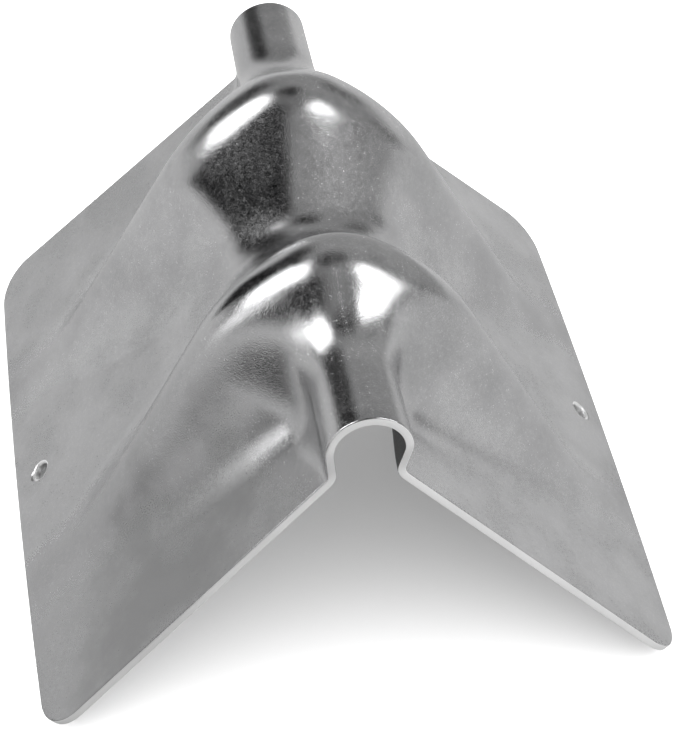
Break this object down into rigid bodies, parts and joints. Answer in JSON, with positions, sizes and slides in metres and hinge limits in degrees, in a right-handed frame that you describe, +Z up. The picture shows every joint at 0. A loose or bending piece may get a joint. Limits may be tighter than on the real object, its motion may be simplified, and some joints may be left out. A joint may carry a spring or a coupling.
{
  "type": "load corner protector",
  "caption": "Pressed sheet-steel corner protector: right-angled wings, an open roll along the crest, and domed ribs with a strap saddle between them.",
  "frame": {"origin": "on the surface that the part stands on, under the middle of its crest", "axes": "+Y along the crest, +Z up through the crest, +X towards the right wing"},
  "size_m": [0.2132, 0.2278, 0.137],
  "materials": {
    "galvanised_sheet": "bright zinc-coated sheet, smooth and satin on the wings and burnished on the ribs, with bare sheared edges"
  },
  "bodies": {
    "root": {"pressed_shell": "galvanised_sheet"}
  },
  "joints": []
}
